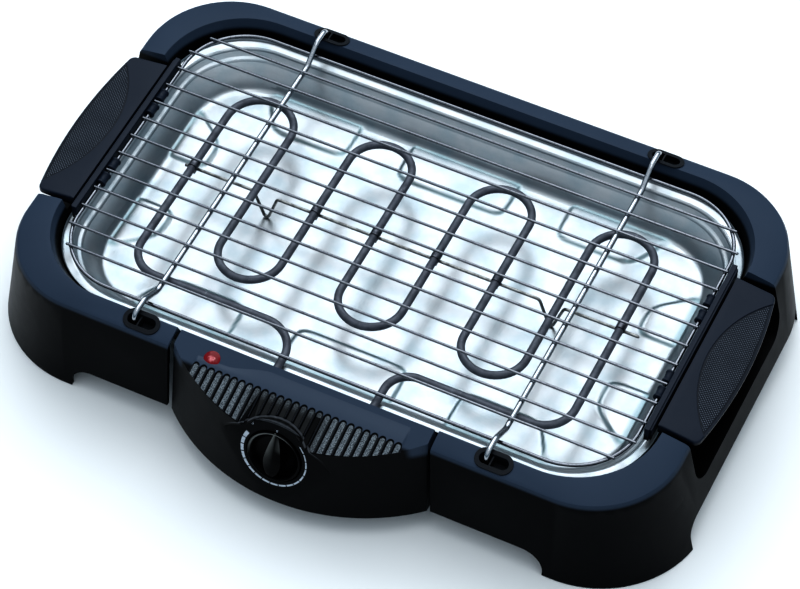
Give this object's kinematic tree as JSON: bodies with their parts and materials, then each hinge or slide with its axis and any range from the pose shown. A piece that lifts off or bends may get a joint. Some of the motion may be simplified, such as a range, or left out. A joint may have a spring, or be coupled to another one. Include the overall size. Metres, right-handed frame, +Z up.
{
  "type": "electric table grill",
  "caption": "Low electric table grill: moulded frame on four feet, lift-out drip tray, serpentine tube element with bowed control box and knob, wire rack with two handles.",
  "frame": {"origin": "on the table, under the middle of the whole grill, knob included", "axes": "+Z up; X along the grill from handle to handle; -Y the front, where the control box and its knob are"},
  "size_m": [0.509, 0.3384, 0.093],
  "materials": {
    "frame_plastic": "satin black moulded plastic",
    "slot_plastic": "dark grey heat-resistant plastic",
    "foot_rubber": "black rubber",
    "tray_aluminium": "bright pressed sheet",
    "element_steel": "dark oxidised tube",
    "stay_steel": "bright steel wire and clips",
    "box_plastic": "satin black moulded plastic",
    "screw_steel": "zinc-plated steel",
    "terminal_brass": "brass",
    "bead_ceramic": "white glazed ceramic",
    "inner_plastic": "natural moulding resin",
    "lens_red": "clear red lens",
    "lamp_glass": "clear glass",
    "gland_rubber": "black rubber",
    "knob_plastic": "glossy black",
    "rack_chrome": "bright chrome plating",
    "handle_plastic": "satin black, grained leaf"
  },
  "bodies": {
    "base": {"base_frame": "frame_plastic", "slot_insert_rear_left": "slot_plastic", "slot_insert_rear_right": "slot_plastic", "slot_insert_front_left": "slot_plastic", "slot_insert_front_right": "slot_plastic", "foot_pads": "foot_rubber"},
    "tray": {"drip_tray": "tray_aluminium"},
    "heater": {"heating_element": "element_steel", "support_wire": "stay_steel", "element_clips": "stay_steel", "control_housing": "box_plastic", "bottom_cover": "box_plastic", "housing_screws": "screw_steel", "element_plate": "stay_steel", "terminal_pins": "terminal_brass", "ceramic_beads": "bead_ceramic", "thermostat": "inner_plastic", "thermostat_bracket": "stay_steel", "terminal_block": "inner_plastic", "indicator_lens": "lens_red", "neon_lamp": "lamp_glass", "safety_switch": "inner_plastic", "cord_gland": "gland_rubber"},
    "knob": {"control_knob": "knob_plastic", "switch_shaft": "screw_steel", "knob_spring": "screw_steel"},
    "rack": {"rack_grid": "rack_chrome", "cross_rod_left": "rack_chrome", "cross_rod_right": "rack_chrome", "handle_carrier_left": "handle_plastic", "handle_carrier_right": "handle_plastic", "handle_grip_left": "handle_plastic", "handle_grip_right": "handle_plastic", "handle_screws": "screw_steel"}
  },
  "joints": [
    {"name": "tray_lift", "type": "slide", "parent": "base", "child": "tray", "axis": [0, 0, 1], "range_m": [0, 0.09]},
    {"name": "heater_lift", "type": "slide", "parent": "tray", "child": "heater", "axis": [0, 0, 1], "range_m": [0, 0.1]},
    {"name": "rack_lift", "type": "slide", "parent": "heater", "child": "rack", "axis": [0, 0, 1], "range_m": [0, 0.12]},
    {"name": "knob_turn", "type": "hinge", "parent": "heater", "child": "knob", "pos_m": [-0.0057, -0.16005, 0.0552], "axis": [0, 0.9613, -0.2756], "range_deg": [0, 300]}
  ]
}
